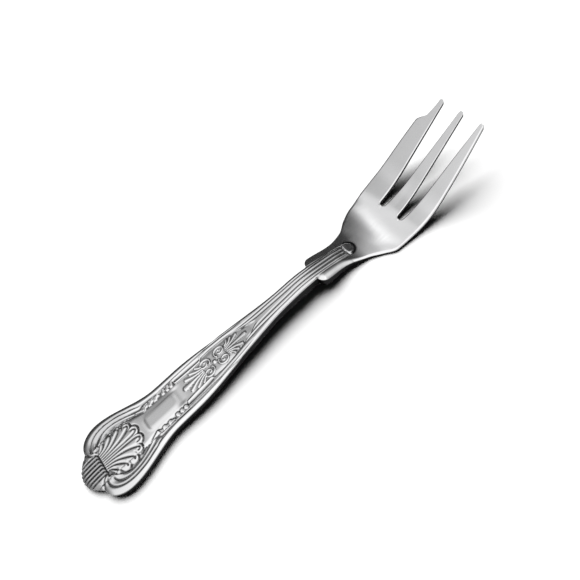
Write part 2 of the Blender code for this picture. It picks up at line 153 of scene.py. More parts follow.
# Relief struck into the handle, as paths of (place, distance from the middle line)
FIELD_DEPTH = 0.5
FIELD_SOFT = 0.22       # half the width of the soft step along its edge
FIELD_FALL = 0.011      # how the field falls away beside the tablet, per mm squared
FIELD_FALL_START = 1.5  # from this far out
FIELD_FALL_REACH = 2.6  # and over this distance
FIELD_DIP = 0.13        # past the tablet's end
FIELD_STRETCH = (7.2, 8.2, 64.0, 67.0)    # start, full, last full and end of the field
FIELD_EDGE = [(8, 4.6), (9.5, 5.4), (11, 6.4), (12.5, 7.1), (14, 7.4), (18, 6.7), (20, 6.1), (22, 5.3),
              (24, 4.4), (25.6, 3.8), (26.4, 5.2), (36.8, 5.2), (37.4, 3.45), (46.6, 3.05), (48, 4.0),
              (50, 3.95), (56, 3.4), (60, 2.6), (63, 1.7), (66, 0.6), (68, 0.0)]
SCROLL_GROOVE = [(6.9, 4.6), (6.4, 5.6), (6.7, 6.8), (7.6, 7.9), (9, 8.8), (11, 9.45), (14, 9.6), (18, 9.0),
                 (21, 8.05), (23.5, 7.25)]
RIM_GROOVE = [(22.5, 7.5), (26, 6.3), (31, 5.65), (37, 5.65), (47, 5.4), (50, 5.1), (56, 4.5), (63, 3.6)]
LOBE_GROOVE = [(8.6, 5.3), (8.6, 6.1), (9.4, 7.1), (11, 7.9), (13, 8.3), (16, 8.2), (19, 7.45), (22, 6.4),
               (24, 5.6), (24.7, 5.5), (25.4, 5.75), (26, 5.95), (28, 5.8), (31, 5.55)]
INNER_GROOVE = [(11, 6.5), (12.5, 7.15), (14, 7.45), (18, 6.7), (20, 6.1), (22, 5.3), (24, 4.4), (25.6, 3.8)]
PANEL_GROOVE = [(37.3, 4.5), (42, 4.3), (46.9, 3.95)]
STEM_GROOVE = [(49.6, 4.0), (56, 3.45), (60, 2.8), (64, 2.35), (68, 2.1), (76, 1.85), (84, 1.65),
               (100.4, 1.72)]
REED_GROOVE = [(62, 1.8), (66, 1.25), (69, 1.0), (76, 0.75), (84, 0.64), (100.4, 0.6)]
GROOVE_DEPTH = 0.3
GROOVE_WIDTH = 0.24
REED_DEPTH = 0.25
REED_WIDTH = 0.17

# The butt's flutes and the shell that grows from them
FLUTE_PITCH = 1.15
FLUTE_SIDE = 3.5
FLUTE_DEPTH = 0.6
HINGE_PLACE = 7.65
HINGE_SIDE = 3.3
HINGE_DEPTH = 0.4
NOTCH_LINE = [(HINGE_PLACE, HINGE_SIDE), (6.2, 4.1), (5.2, 5.2), (4.5, 6.2)]
NOTCH_LINE_DEPTH = 0.26
SHELL_RISE = 0.5
SHELL_FOOT = 0.5        # half a lobe's width at its foot
SHELL_LOBES = [         # foot, bend and end of a lobe's middle line, and half its width at the end
    ([(8.2, 0.3), (14.0, 0.75), (19.8, 1.5)], 1.75),
    ([(8.2, 0.9), (13.2, 1.7), (18.3, 3.95)], 1.7),
    ([(8.2, 1.5), (12.2, 2.5), (15.7, 4.95)], 1.75),
    ([(8.2, 2.1), (10.9, 3.1), (12.9, 5.3)], 1.55),
    ([(8.2, 2.6), (9.3, 3.5), (10.4, 5.0)], 0.85),
]
SHELL_COMMAS = [        # the hooked groove in each lobe
    [(8.2, 0.35), (12.0, 0.38), (16.0, 0.42), (19.0, 0.6), (20.2, 1.0), (20.45, 1.5), (20.0, 2.0),
     (19.2, 2.1)],
    [(8.2, 0.95), (12.0, 1.25), (15.5, 1.95), (18.0, 2.95), (18.95, 3.65), (18.8, 4.2), (18.2, 4.35)],
    [(8.2, 1.6), (11.5, 2.15), (14.0, 3.25), (15.8, 4.4), (16.4, 5.2), (16.0, 5.6)],
    [(8.2, 2.3), (10.5, 2.85), (12.5, 4.05), (13.6, 5.25), (13.5, 5.8)],
    [(8.2, 2.95), (9.4, 3.45), (10.4, 4.4), (10.7, 5.0)],
]
COMMA_DEPTH = 0.34
COMMA_WIDTH = 0.2
SCALLOP_DEPTH = 0.16
SCALLOP_WIDTH = 0.16

# The panel's tablet and the leaf curls beside it
TABLET_START = 23.6
TABLET_END = 35.0
TABLET_SIDE = 2.3
TABLET_RISE = 0.1
TABLET_BEVEL = 2.2
TABLET_CORNER = 1.8
TABLET_STRETCH = (21.0, 23.5, 36.5, 38.5)
RUFFLE_PLACES = (26.2, 28.3, 30.4)
RUFFLE_PATH = [(0.7, 5.0), (0.0, 4.85), (-0.5, 4.55)]    # from its place, and from the middle line
CURL_PLACES = (33.1, 34.7, 36.2)
CURL_PATH = [(0.35, 5.1), (0.1, 4.7), (-0.25, 4.3)]
CURL_RISE = 0.28

# The two honeysuckles, their volutes and the bead between them
LEAF_RISE = 0.36
LEAF_FOOT = 0.22        # half a leaf's width at its foot
LOWER_LEAVES = [        # foot, bend and end of a leaf, and half its width at the end
    ([(46.0, 0.0), (42.0, 0.0), (39.0, 0.0)], 0.9),
    ([(46.0, 0.5), (43.0, 1.0), (40.3, 1.95)], 0.62),
    ([(46.1, 1.0), (44.2, 1.6), (42.3, 2.55)], 0.55),
    ([(46.2, 1.5), (45.3, 2.0), (44.4, 2.75)], 0.48),
]
UPPER_LEAVES = [
    ([(55.2, 0.0), (59.0, 0.0), (61.9, 0.0)], 0.75),
    ([(55.2, 0.5), (57.6, 1.0), (59.7, 1.9)], 0.58),
    ([(55.3, 1.0), (56.8, 1.5), (57.9, 2.4)], 0.5),
    ([(55.4, 1.45), (56.1, 1.9), (56.6, 2.65)], 0.42),
]
VOLUTE_PLACES = ((47.3, 1), (53.05, -1))
VOLUTE_SIDE = 1.5
VOLUTE_REACH = 1.95
VOLUTE_HEART = 0.45
VOLUTE_TURNS = 1.35
VOLUTE_POWER = 1.1      # how the spiral closes in: 1 is evenly
VOLUTE_START = -0.65    # radians
VOLUTE_SQUEEZE = 0.76   # its width to its length
VOLUTE_THREAD = 0.4
BEAD_PLACE = 50.2
BEAD_RADIUS = 0.6
COLLAR = [(54.75, 0.0), (54.9, 0.875), (55.35, 1.75)]    # the bar across the upper leaves' feet

# The drop's end
CAP_DIP = 0.2           # across the reeds' ends
CAP_SLOPE = 0.35        # down to the round end

# Painted shade, a dark colour painted where shade falls, from 0 for none to 1. The pairs say where it goes
# from
# none to full: ALONG the fork, ACROSS from the middle line or INWARD from the rim
PAINTED_SHADE_DEPTH = 0.3        # a groove this deep gets the full painted shade
PAINTED_SHADE_MOST = 0.88       # the handle's top has no more than this, but for the ring round the drop
LOW_REACH = 4           # what lies below the mean of this many rows and columns each way gets painted shade
LOW_START = 0.02        # from this depth
LOW_RANGE = 0.16        # and fully when deeper by this
UPPER_FIELD_SHADE = 0.33
UPPER_FIELD_ALONG = (53.0, 58.0)
BUTT_SHADE = 0.22        # at the butt, thinning out to the tablet
BUTT_ALONG = (24.0, 7.0)
TAPER_SHADE = 0.14       # on the threads of the taper and the stem
TAPER_ALONG = (56.0, 68.0)
REED_SHADE = 0.36        # on the reeds between the shoulders
REED_ALONG = (87.0, 92.0)
REED_END = (X_DROP - 0.5, X_DROP - 4.0)
REED_ACROSS = (3.1, 2.7)
TABLET_END_SHADE = 0.65
TABLET_SIDE_SHADE = 0.6  # on the cutting side
TABLET_SIDE_STRETCH = (26.0, 31.0, 35.0, 36.5)
FLUTE_SHADE = 0.55       # on the flutes' ridges, and full between them
BUTT_SIDE_SHADE = 0.4    # beside the flutes, on the cutting side
BUTT_SIDE_ALONG = (8.0, 6.0)
BUTT_SIDE_ACROSS = (2.2, 3.4)
LOBE_SHADE = 0.32        # on the threads round the lobes
LOBE_ALONG = (24.0, 18.0)
LOBE_ACROSS = (5.5, 7.0)
LOBE_INWARD = (1.6, 2.4)
EDGE_SHADE = 0.75        # along the rim, on the cutting side
EDGE_ALONG = (16.0, 26.0)
EDGE_INWARD = (0.55, 0.15)

# Shares of the painted shade that are left out again
SHELL_SHADE_CUT = 0.5        # beside the shell, on the cutting side
SHELL_SHADE_CUT_ALONG = (24.0, 20.0)
SHELL_SHADE_CUT_ACROSS = (4.0, 5.5)
LEAF_SHADE_CUT = 0.3         # in what lies low round the lower honeysuckle and the volutes
LEAF_STRETCH = (38.0, 40.0, 55.0, 57.0)
CURL_SHADE_CUT = 0.65        # past the waist, on the cutting side
CURL_SHADE_CUT_ACROSS = (2.8, 4.0)
LOBE_SHADE_CUT = 0.45        # before the waist, on the cutting side
LOBE_SHADE_CUT_ACROSS = (6.0, 7.0)
PANEL_SHADE_CUT = 0.35       # in the grooves beside the lower honeysuckle
PANEL_STRETCH = (38.0, 40.0, 47.0, 50.0)

# Steel, and the dark colour of the painted shade
STEEL_LIGHT = (0.68, 0.68, 0.685, 1.0)
STEEL_DARK = (0.60, 0.60, 0.605, 1.0)
PAINTED_SHADE_COLOUR = (0.02, 0.02, 0.021, 1.0)
LEAST_ROUGHNESS = 0.12
MOST_ROUGHNESS = 0.22
PAINTED_SHADE_ROUGHNESS = 0.2    # added where the painted shade is full
LINE_SCALE = (150.0, 2600.0, 2600.0)    # the polishing lines run along the fork
CLOUD_SCALE = 140.0
BUMP_STRENGTH = 0.12
BUMP_HEIGHT = 0.00002   # metres

# The table, in metres
TABLE_SIZE = 6.0
TABLE_LIT = 0.16        # lit by the lamp up to here from the middle
TABLE_PLAIN = 0.40      # and plain white from here on
TABLE_COLOUR = 0.97

# The lamp, the room that the steel mirrors, and the camera
LAMP_DISTANCE = 1.6
LAMP_HEIGHT_ANGLE = 57.0             # degrees above the table
LAMP_TURN = 76.0                     # degrees from the x axis
LAMP_LENGTH = 2.2
LAMP_WIDTH = 1.25
LAMP_POWER = 50.0
AMBIENT = 0.01                       # light of the room on the table
ROOM_DARK = 0.06                     # what the steel mirrors: a dim room
BRIGHT_SIDE = (-0.25, -0.35, 0.90)   # with a wide bright ceiling
BRIGHT_START = 0.20
BRIGHT_FULL = 0.80
BRIGHT_LIGHT = 0.78
SOFTBOXES = [                        # way to it, degrees to its edge and to its even core, and its light
    (BRIGHT_SIDE, 50.0, 35.0, 0.75),
    ((0.16, 0.48, 0.86), 14.0, 5.0, 0.39),
    ((0.28, 0.43, 0.86), 5.5, 1.0, 0.6),
    ((0.24, 0.48, 0.84), 5.5, 1.0, 0.6),
    ((0.17, 0.53, 0.83), 5.5, 1.0, 0.45),
    ((0.11, 0.57, 0.82), 5.0, 1.0, 0.4),
    ((0.04, 0.55, 0.83), 5.0, 1.0, 0.4),
    ((0.60, -0.28, 0.75), 20.0, 8.0, 0.45),
    ((-0.50, 0.46, 0.73), 16.0, 6.0, 0.27),
]
CAMERA_PLACE = (-0.01202, -0.08800, 0.15531)
CAMERA_AIM = (0.00580, 0.00372, 0.0)
CAMERA_ROLL = -31.98                 # degrees
CAMERA_LENS = 37.25
CAMERA_SENSOR = 36.0
CAMERA_NEAR = 0.005                  # what is nearer isn't drawn


def smooth_run(points):
    """A curve through (place, value) points that never overshoots them and is level past both ends."""
    place, value = np.array(points, float).T
    step = np.diff(place)
    rise = np.diff(value) / step
    slope = np.zeros(len(place))
    product = rise[:-1] * rise[1:]
    total = np.where(product > 0, rise[:-1] + rise[1:], 1.0)
    slope[1:-1] = np.where(product > 0, 2 * product / total, 0.0)

    def at(x):
        x = np.clip(np.asarray(x, float), place[0], place[-1])
        i = np.clip(np.searchsorted(place, x) - 1, 0, len(step) - 1)
        s = (x - place[i]) / step[i]
        start = value[i] * (1 + 2 * s) + slope[i] * step[i] * s
        end = value[i + 1] * (3 - 2 * s) + slope[i + 1] * step[i] * (s - 1)
        return start * (1 - s) ** 2 + end * s ** 2

    return at


def softened(reach, points):
    """A smooth run averaged over a reach to each side, so that its bends turn evenly."""
    run = smooth_run(points)
    offsets = np.linspace(-reach, reach, 13)
    weights = 1 + np.cos(math.pi * offsets / (reach + 0.2))
    weights = weights / weights.sum()

    def at(x):
        return (run(np.asarray(x, float)[..., None] + offsets) * weights).sum(-1)

    return at


def smooth_step(low, high, x):
    """Rises from 0 at low to 1 at high along 3s^2 - 2s^3."""
    s = np.clip((x - low) / (high - low), 0.0, 1.0)
    return s * s * (3 - 2 * s)


def between(stretch, x):
    """1 along a stretch and 0 outside it, by a soft step at each end: a stretch is where it starts, where it
    is full, where it is last full and where it ends."""
    start, full, last, end = stretch
    return smooth_step(start, full, x) * smooth_step(end, last, x)


def edge_fall(distance, radius, depth):
    """Fall of a rounded edge: a quarter ellipse, depth at the edge itself and nothing past the radius."""
    s = np.clip(1 - distance / radius, 0.0, 1.0)
    return depth * (1 - np.sqrt(1 - s ** 2))


def bevel_fall(distance, width, depth):
    """Fall of a bevel that grows steeper to the edge, with the square of the way from its inner side."""
    return depth * np.clip(1 - distance / width, 0.0, 1.0) ** 2


def curve_through(points, count=48):
    """A path through points: cubic pieces whose slope at each point follows its two neighbours."""
    points = np.array(points, float)
    ends = np.concatenate([[2 * points[0] - points[1]], points, [2 * points[-1] - points[-2]]])
    place = np.linspace(0.0, len(points) - 1, count)
    i = np.minimum(place.astype(int), len(points) - 2)
    s = (place - i)[:, None]
    a, b, c, d = ends[i], ends[i + 1], ends[i + 2], ends[i + 3]
    bend = (2 * a - 5 * b + 4 * c - d) * s ** 2 + (3 * b - a - 3 * c + d) * s ** 3
    return (2 * b + (c - a) * s + bend) / 2


# The outline

handle_taper = smooth_run([
    (X_LOBE, LOBE_WIDTH / 2),
    (X_WAIST, WAIST_WIDTH / 2),
    (X_SWELL, SWELL_WIDTH / 2),
    (X_TAPER, TAPER_WIDTH / 2),
    (X_STEM, STEM_START_WIDTH / 2),
    (X_SHOULDER - STEM_LENGTH / 3, STEM_WIDTH / 2),
    (X_NECK, DROP_WIDTH / 2),
])


def handle_side(x):
    """Half the handle's width: a blunt butt that widens evenly, elliptical lobes, a taper and a round end."""
    x = np.asarray(x, float)
    butt_back = np.clip(1 - x / BUTT_ROUND, 0.0, 1.0)
    butt = BUTT_END * np.sqrt(1 - butt_back ** 2) + (BUTT_WIDTH / 2 - BUTT_END) * x / BUTT_LENGTH
    lobe_back = np.clip((X_LOBE - x) / LOBE_LENGTH, 0.0, 1.0)
    lobe = BUTT_WIDTH / 2 + (LOBE_WIDTH - BUTT_WIDTH) / 2 * np.sqrt(1 - lobe_back ** 2)
    drop_past = np.clip((x - X_DROP) * 2 / DROP_WIDTH + 1, 0.0, 1.0)
    taper = handle_taper(x) * np.sqrt(1 - drop_past ** 2)
    return np.where(x < X_NOTCH, butt, np.where(x < X_LOBE, lobe, taper))


def tip_rounding(x):
    """How far a tine's side has drawn in at x, along the quarter ellipse at its tip."""
    past = np.clip((x - (X_TIP - TIP_ROUND)) / TIP_ROUND, 0.0, 1.0)
    return TIP_DRAW * (1 - np.sqrt(1 - past ** 2))


def bowl_side(x, reach, corner):
    """Half the bowl's width, from nothing before the shoulders to its widest part."""
    lead = np.clip((x - X_SHOULDER) / SHOULDER_ROUND, 0.0, 1.0)
    start = STEM_WIDTH / 2 - SHOULDER_ROOT
    shoulder = start + (SHOULDER_WIDTH / 2 - start) * np.sqrt(1 - (1 - lead) ** 2)
    flare = smooth_run([
        (X_SHOULDER + SHOULDER_ROUND, SHOULDER_WIDTH / 2),
        (X_NECK, NECK_WIDTH / 2),
        (X_DROP, NECK_WIDTH / 4 + DROP_FLARE * reach),
        (X_DROP + BOWL_LENGTH / 4, BOWL_FLARE * reach),
        (X_DROP + CORNER_PLACE * BOWL_LENGTH, reach - corner),
        (X_WIDE, reach),
    ])
    return np.where(x < X_SHOULDER, 0.0, np.where(lead < 1, shoulder, flare(x)))


def left_side(x):
    """The whole outline on the cutting tine's side: handle, bowl, cutting edge, hollow and slim tip."""
    edge = smooth_run([
        (X_WIDE, CUTTING_SIDE),
        (X_CUT, CUTTING_SIDE - CUTTING_TAPER),
        (X_CUT + NOTCH_LENGTH, NOTCH_SIDE),
        (X_TIP, TIP_SIDE),
    ])
    head = np.where(x < X_WIDE, bowl_side(x, CUTTING_SIDE, CUTTING_CORNER), edge(x)) - tip_rounding(x)
    return np.maximum(handle_side(x), head)


def right_side(x):
    """The whole outline on the other side, where the outer tine's edge is one curve to its tip."""
    past = np.clip((x - X_WIDE) / (X_TIP - X_WIDE), 0.0, 1.0)
    taper = (PLAIN_SIDE - TIP_SIDE) * past ** TAPER_POWER
    head = bowl_side(x, PLAIN_SIDE, PLAIN_CORNER) - taper - tip_rounding(x)
    return np.maximum(handle_side(x), head)


def slot_half(x):
    """Half a slot's width: a round root, then a straight wedge that also rounds the tips' corners."""
    root = SLOT_ROOT_WIDTH / 2
    growth = ((TINE_PITCH - TIP_WIDTH) / 2 - root) / (TINE_LENGTH - root)
    past = x - X_ROOT - root
    arc = np.sqrt(np.clip(root ** 2 - past ** 2, 0.0, None))
    wedge = np.where(past < 0, arc, root + growth * past) + tip_rounding(x)
    return np.where(x > X_ROOT, wedge, 0.0)


def inside_distance(x, y, left, right, reach=2.4, steps=49):
    """Distance inwards from an outline: the nearest of its points at a row of places to each side of x."""
    nearest = np.full(np.shape(y), reach)
    for offset in np.linspace(-reach, reach, steps):
        place = x + offset
        side = np.where(y > 0, left(place), right(place))
        nearest = np.minimum(nearest, np.hypot(offset, np.maximum(side - np.abs(y), 0.0)))
    return nearest


def slot_distance(x, y):
    """Distance from the nearer slot's edge: round the root's centre, then square to the wedge's side."""
    root = SLOT_ROOT_WIDTH / 2
    off = np.abs(np.abs(y) - TINE_PITCH / 2)
    round_root = np.hypot(x - X_ROOT - root, off) - root
    return np.where(x < X_ROOT + root, round_root, off - slot_half(x))


# Heights

def underside(x):
    """Height of the fork's back above the table: flat tail, raised stem, bowl on the table, tines up."""
    along = smooth_run([
        (TAIL_FLAT, 0.0),
        (X_STEM + STEM_LENGTH / 3, STEM_RISE),
        (X_DROP + 2 * HEAD_EDGE, 0.0),
    ])
    angle = math.radians(TINE_ANGLE)
    past = np.maximum(np.asarray(x, float) - X_BEND, 0.0)
    bent = np.minimum(past, BEND_RADIUS * math.sin(angle))
    arc = BEND_RADIUS - np.sqrt(BEND_RADIUS ** 2 - bent ** 2)
    return along(x) + arc + (past - bent) * math.tan(angle)


handle_thickness = smooth_run([
    (0.0, BUTT_THICKNESS),
    (X_NOTCH / 2, (BUTT_THICKNESS + LOBE_THICKNESS) / 2),
    (X_NOTCH + 2, LOBE_THICKNESS + LOBE_FULLER / 2),
    (X_LOBE, LOBE_THICKNESS + LOBE_FULLER),
    (X_LOBE + 7, LOBE_THICKNESS + LOBE_FULLER),
    (X_SWELL, SWELL_THICKNESS),
    (X_STEM, STEM_THICKNESS),
    (X_SHOULDER, SHOULDER_THICKNESS),
    (X_NECK, NECK_THICKNESS + REED_LIFT),
    (X_DROP - DROP_WIDTH / 2, DROP_THICKNESS),
    (X_DROP, DROP_END),
])
handle_trough = smooth_run([(3, 0.0), (X_LOBE, 0.4), (X_WAIST, 0.12), (X_TAPER, 0.06), (X_STEM, 0.0)])
rim_radius = smooth_run([(0, 2.0), (X_NOTCH, 2.2), (X_LOBE, 2.0), (X_WAIST, 1.2), (X_STEM, 1.0),
                         (X_SHOULDER - 3, 1.0), (X_NECK + 3, 0.95), (X_DROP - 2, 0.9)])
rim_depth = smooth_run([(0, 0.5), (X_NOTCH, 0.45), (X_LOBE, 0.42), (X_WAIST, 0.32), (X_STEM, 0.38),
                        (X_SHOULDER - 3, 0.35), (X_NECK + 3, 0.42), (X_DROP - 2, 0.7)])
head_thickness = softened(2.0, [
    (X_SHOULDER, SHOULDER_THICKNESS),
    (X_NECK, NECK_THICKNESS),
    (X_DROP - 3.5, 2.45),
    (X_DROP, 1.85),
    (X_DROP + 4, 1.45),
    (X_DROP + 8, BOWL_THICKNESS),
    (X_ROOT + 10, BOWL_THICKNESS),
    (X_TIP, TIP_THICKNESS),
])
plate_rim = smooth_run([(X_SHOULDER, 2.2), (X_NECK, 2.1), (X_DROP - 2, 0.9), (X_DROP + 5, 0.6),
                        (X_DROP + 10, HEAD_EDGE)])
plate_rim_depth = smooth_run([(X_SHOULDER, 0.5), (X_SHOULDER + 3, 0.8), (X_NECK, 0.7), (X_DROP - 2, 0.3),
                              (X_DROP + 5, 0.22), (X_DROP + 10, HEAD_EDGE)])
cutting_share = smooth_run([(X_NECK, 0.1), (X_DROP + 2, 1.0)])
plain_crown = softened(2.0, [
    (X_DROP - 5, -0.1),
    (X_DROP + 1, -0.5),
    (X_DROP + 4, -0.5),
    (X_DROP + 9, 0.0),
])
cutting_crown = softened(2.0, [
    (X_DROP - 5, -0.1),
    (X_DROP + 1, -0.5),
    (X_DROP + 6, -0.55),
    (X_DROP + 9, -0.4),
    (X_DROP + 13, 0.0),
])


def side_share(x, y):
    """Where a point lies between the middle line, 0, and the outline, 1."""
    return np.abs(y) / np.where(y > 0, left_side(x), right_side(x))


def plate_top(x, y):
    """Top of the shoulders, bowl and tines: a plate curved across its width, with rounded edges."""
    distance = inside_distance(x, y, left_side, right_side)
    sharp = np.where(y > 0, smooth_step(X_DROP + 10, X_ROOT, x), 0.0)
    radius = plate_rim(x) + (TINE_EDGE - HEAD_EDGE) * sharp
    depth = plate_rim_depth(x) * np.where(y > 0, cutting_share(x), 1.0) + (TINE_EDGE - HEAD_EDGE) * sharp
    curve = np.where(y > 0, cutting_crown(x), plain_crown(x)) * side_share(x, y) ** 2
    tilt = NECK_TILT * np.maximum(y - DROP_WIDTH / 2, 0.0) * smooth_step(X_DROP + 3, X_NECK, x)
    roots = smooth_step(X_ROOT - 2, X_ROOT + 3, x) * smooth_step(X_ROOT + 14, X_ROOT + 5, x)
    tilt = tilt + ROOT_TILT * (CUTTING_SIDE - np.maximum(y, 0.0)) * roots
    return underside(x) + head_thickness(x) + curve - tilt - bevel_fall(distance, radius, depth)


class Relief:
    """Heights and painted shade on a grid of places x and distances y from the middle line."""

    def __init__(self, x, y):
        self.x = x
        self.y = np.abs(y)
        self.height = np.zeros(x.shape)
        self.painted_shade = np.zeros(x.shape)

    def near(self, path, reach):
        """The rows that a path may touch, their distance from it and how far along it they lie, 0 to 1."""
        low, high = path[:, 0].min() - reach, path[:, 0].max() + reach
        rows = np.flatnonzero((self.x[:, 0] >= low) & (self.x[:, 0] <= high))
        rows = slice(rows[0], rows[-1] + 1)
        start = path[:-1]
        step = np.diff(path, axis=0)
        off_x = self.x[rows][..., None] - start[:, 0]
        off_y = self.y[rows][..., None] - start[:, 1]
        s = np.clip((off_x * step[:, 0] + off_y * step[:, 1]) / (step ** 2).sum(1), 0.0, 1.0)
        gap = np.hypot(off_x - s * step[:, 0], off_y - s * step[:, 1])
        nearest = gap.argmin(-1)[..., None]
        along = (nearest + np.take_along_axis(s, nearest, -1)) / len(step)
        return rows, np.take_along_axis(gap, nearest, -1)[..., 0], along[..., 0]

    def rib(self, path, foot, end, rise, fullness=2.0, level=0.0):
        """Raise a rounded rib along a path, from half width foot to end, up from a level."""
        rows, gap, along = self.near(path, max(foot, end))
        half = foot + (end - foot) * along
        arch = np.clip(1 - np.clip(gap / half, 0.0, 1.0) ** fullness, 0.0, None) ** (1 / fullness)
        lifted = np.where(gap < half, level + rise * arch, -9.0)
        self.height[rows] = np.maximum(self.height[rows], lifted)

    def groove(self, path, depth, width, fade=0.06):
        """Press a groove along a path: a bell-shaped valley with painted shade in it, fading at the path's
        ends.
        """
        rows, gap, along = self.near(path, 3 * width)
        ends = np.clip(np.minimum(along, 1 - along) / fade, 0.0, 1.0)
        valley = 0.6 * np.exp(-(gap / (1.5 * width)) ** 2) + 0.4 * np.exp(-(gap / (0.6 * width)) ** 2)
        pressed = depth * (0.35 + 0.65 * ends)
        self.height[rows] -= pressed * valley
        painted_shade = np.clip(pressed / PAINTED_SHADE_DEPTH, 0.0, 1.0) * np.exp(-(gap / width) ** 2)
        self.painted_shade[rows] = np.maximum(self.painted_shade[rows], painted_shade)


def press_field(relief):
    """Sink the field between the border threads, with a soft step along its edge. Beside the tablet it falls
    away by the square of the distance, and past the tablet's end it dips. Gives where it is, 0 to 1."""
    edge = smooth_run(FIELD_EDGE)(relief.x)
    inside = smooth_step(-FIELD_SOFT, FIELD_SOFT, edge - relief.y) * between(FIELD_STRETCH, relief.x)
    relief.height -= FIELD_DEPTH * inside
    beside = between(TABLET_STRETCH, relief.x) * inside
    out = np.clip(relief.y - FIELD_FALL_START, 0.0, FIELD_FALL_REACH)
    relief.height -= FIELD_FALL * out ** 2 * beside
    past_end = np.exp(-((relief.x - TABLET_END - 1.2) / 1.4) ** 2)
    relief.height -= FIELD_DIP * past_end * smooth_step(3.5, 2.0, relief.y)
    return inside


def lay_painted_shade(relief, inside):
    """The thin painted shade on the butt and lobes, round the upper honeysuckle, on taper and stem and at the
    neck.
    """
    relief.painted_shade = UPPER_FIELD_SHADE * inside * smooth_step(*UPPER_FIELD_ALONG, relief.x)
    relief.painted_shade += BUTT_SHADE * smooth_step(*BUTT_ALONG, relief.x)
    at_neck = smooth_step(*REED_ALONG, relief.x)
    strip = smooth_step(*REED_ACROSS, relief.y) * smooth_step(*REED_END, relief.x)
    relief.painted_shade += TAPER_SHADE * smooth_step(*TAPER_ALONG, relief.x) * (1 - inside) * (1 - at_neck)
    relief.painted_shade += REED_SHADE * at_neck * strip


def press_border(relief):
    """The border's grooves, whose inner ends curl round the lobes beside the butt."""
    for path in (SCROLL_GROOVE, LOBE_GROOVE, PANEL_GROOVE):
        relief.groove(curve_through(path), GROOVE_DEPTH, GROOVE_WIDTH)
    for path in (RIM_GROOVE, INNER_GROOVE):
        relief.groove(curve_through(path), GROOVE_DEPTH / 2, GROOVE_WIDTH)


def press_reeds(relief):
    """The grooves that part the stem's reeds."""
    relief.groove(curve_through(STEM_GROOVE, 60), REED_DEPTH / 2, REED_WIDTH, 0.02)
    relief.groove(curve_through(REED_GROOVE, 60), REED_DEPTH, REED_WIDTH, 0.02)


def scallop(points, half):
    """The arc round a shell lobe's end, about a fifth of a turn to each side of its way out."""
    end = np.array(points[-1])
    way = end - np.array(points[-2])
    turn = math.atan2(way[1], way[0]) + np.linspace(-1.2, 1.2, 24)
    return end + half * np.stack([np.cos(turn), np.sin(turn)], axis=1)


def raise_shell(relief):
    """The shell's lobes, joined to one scalloped plate, with a hooked groove in each."""
    for points, half in SHELL_LOBES:
        relief.rib(curve_through(points), SHELL_FOOT, half, SHELL_RISE, 3.0, -FIELD_DEPTH)
    for points, half in SHELL_LOBES[:-1]:
        relief.groove(scallop(points, half), SCALLOP_DEPTH, SCALLOP_WIDTH)
    for points in SHELL_COMMAS:
        relief.groove(curve_through(points), COMMA_DEPTH, COMMA_WIDTH, 0.03)


def press_flutes(relief):
    """The butt's parallel flutes, the hinge line across their ends and a line to each notch."""
    ridge = np.abs(np.sin(math.pi * relief.y / FLUTE_PITCH))
    near = smooth_step(FLUTE_SIDE + 0.35, FLUTE_SIDE - 0.1, relief.y)
    near = near * smooth_step(HINGE_PLACE, HINGE_PLACE - 0.5, relief.x)
    relief.height -= FLUTE_DEPTH * (1 - ridge) ** 1.1 * near
    # painted shade on the flutes' ridges, full in the hollows between them
    painted_shade = FLUTE_SHADE + (1 - FLUTE_SHADE) * smooth_step(0.85, 0.3, ridge)
    relief.painted_shade = np.maximum(relief.painted_shade, painted_shade * near)
    hinge = curve_through([(HINGE_PLACE, -1.0), (HINGE_PLACE, 1.5), (HINGE_PLACE, HINGE_SIDE)])
    relief.groove(hinge, HINGE_DEPTH, GROOVE_WIDTH, 0.02)
    relief.groove(curve_through(NOTCH_LINE), NOTCH_LINE_DEPTH, 0.22)


def raise_tablet(relief):
    """The plain tablet, a low plate with round corners and soft sides, and some painted shade at its first
    end.
    """
    middle = (TABLET_START + TABLET_END) / 2
    past_x = np.abs(relief.x - middle) - (TABLET_END - TABLET_START) / 2 + TABLET_CORNER
    past_y = relief.y - TABLET_SIDE + TABLET_CORNER
    round_off = np.hypot(np.maximum(past_x, 0.0), np.maximum(past_y, 0.0))
    inward = TABLET_CORNER - round_off - np.minimum(np.maximum(past_x, past_y), 0.0)
    relief.height += TABLET_RISE * smooth_step(-TABLET_BEVEL / 2, TABLET_BEVEL / 2, inward)
    first_end = np.exp(-((relief.x - TABLET_START - 0.5) / 0.5) ** 2) * smooth_step(-0.4, 0.2, inward)
    relief.painted_shade = np.maximum(relief.painted_shade, TABLET_END_SHADE * first_end)


def raise_curls(relief):
    """The ruffled leaf and the leaf curls between the panel's field and its border."""
    for place in RUFFLE_PLACES:
        path = curve_through([(place + along, side) for along, side in RUFFLE_PATH], 12)
        relief.rib(path, 0.7, 0.8, CURL_RISE, 2.5, -FIELD_DEPTH)
    for place in CURL_PLACES:
        path = curve_through([(place + along, side) for along, side in CURL_PATH], 12)
        relief.rib(path, 0.5, 0.72, CURL_RISE, 2.5, -FIELD_DEPTH)


def volute(place, way):
    """A spiral that winds inwards from beside the bead to the volute's heart: its radius shrinks by a power
    of the way along it."""
    s = np.linspace(0.0, 1.0, 60)
    turn = s * VOLUTE_TURNS * 2 * math.pi + VOLUTE_START
    radius = VOLUTE_REACH + (VOLUTE_HEART - VOLUTE_REACH) * s ** VOLUTE_POWER
    x = place + way * radius * np.cos(turn)
    y = VOLUTE_SIDE + VOLUTE_SQUEEZE * radius * np.sin(turn)
    return np.stack([x, y], axis=1)


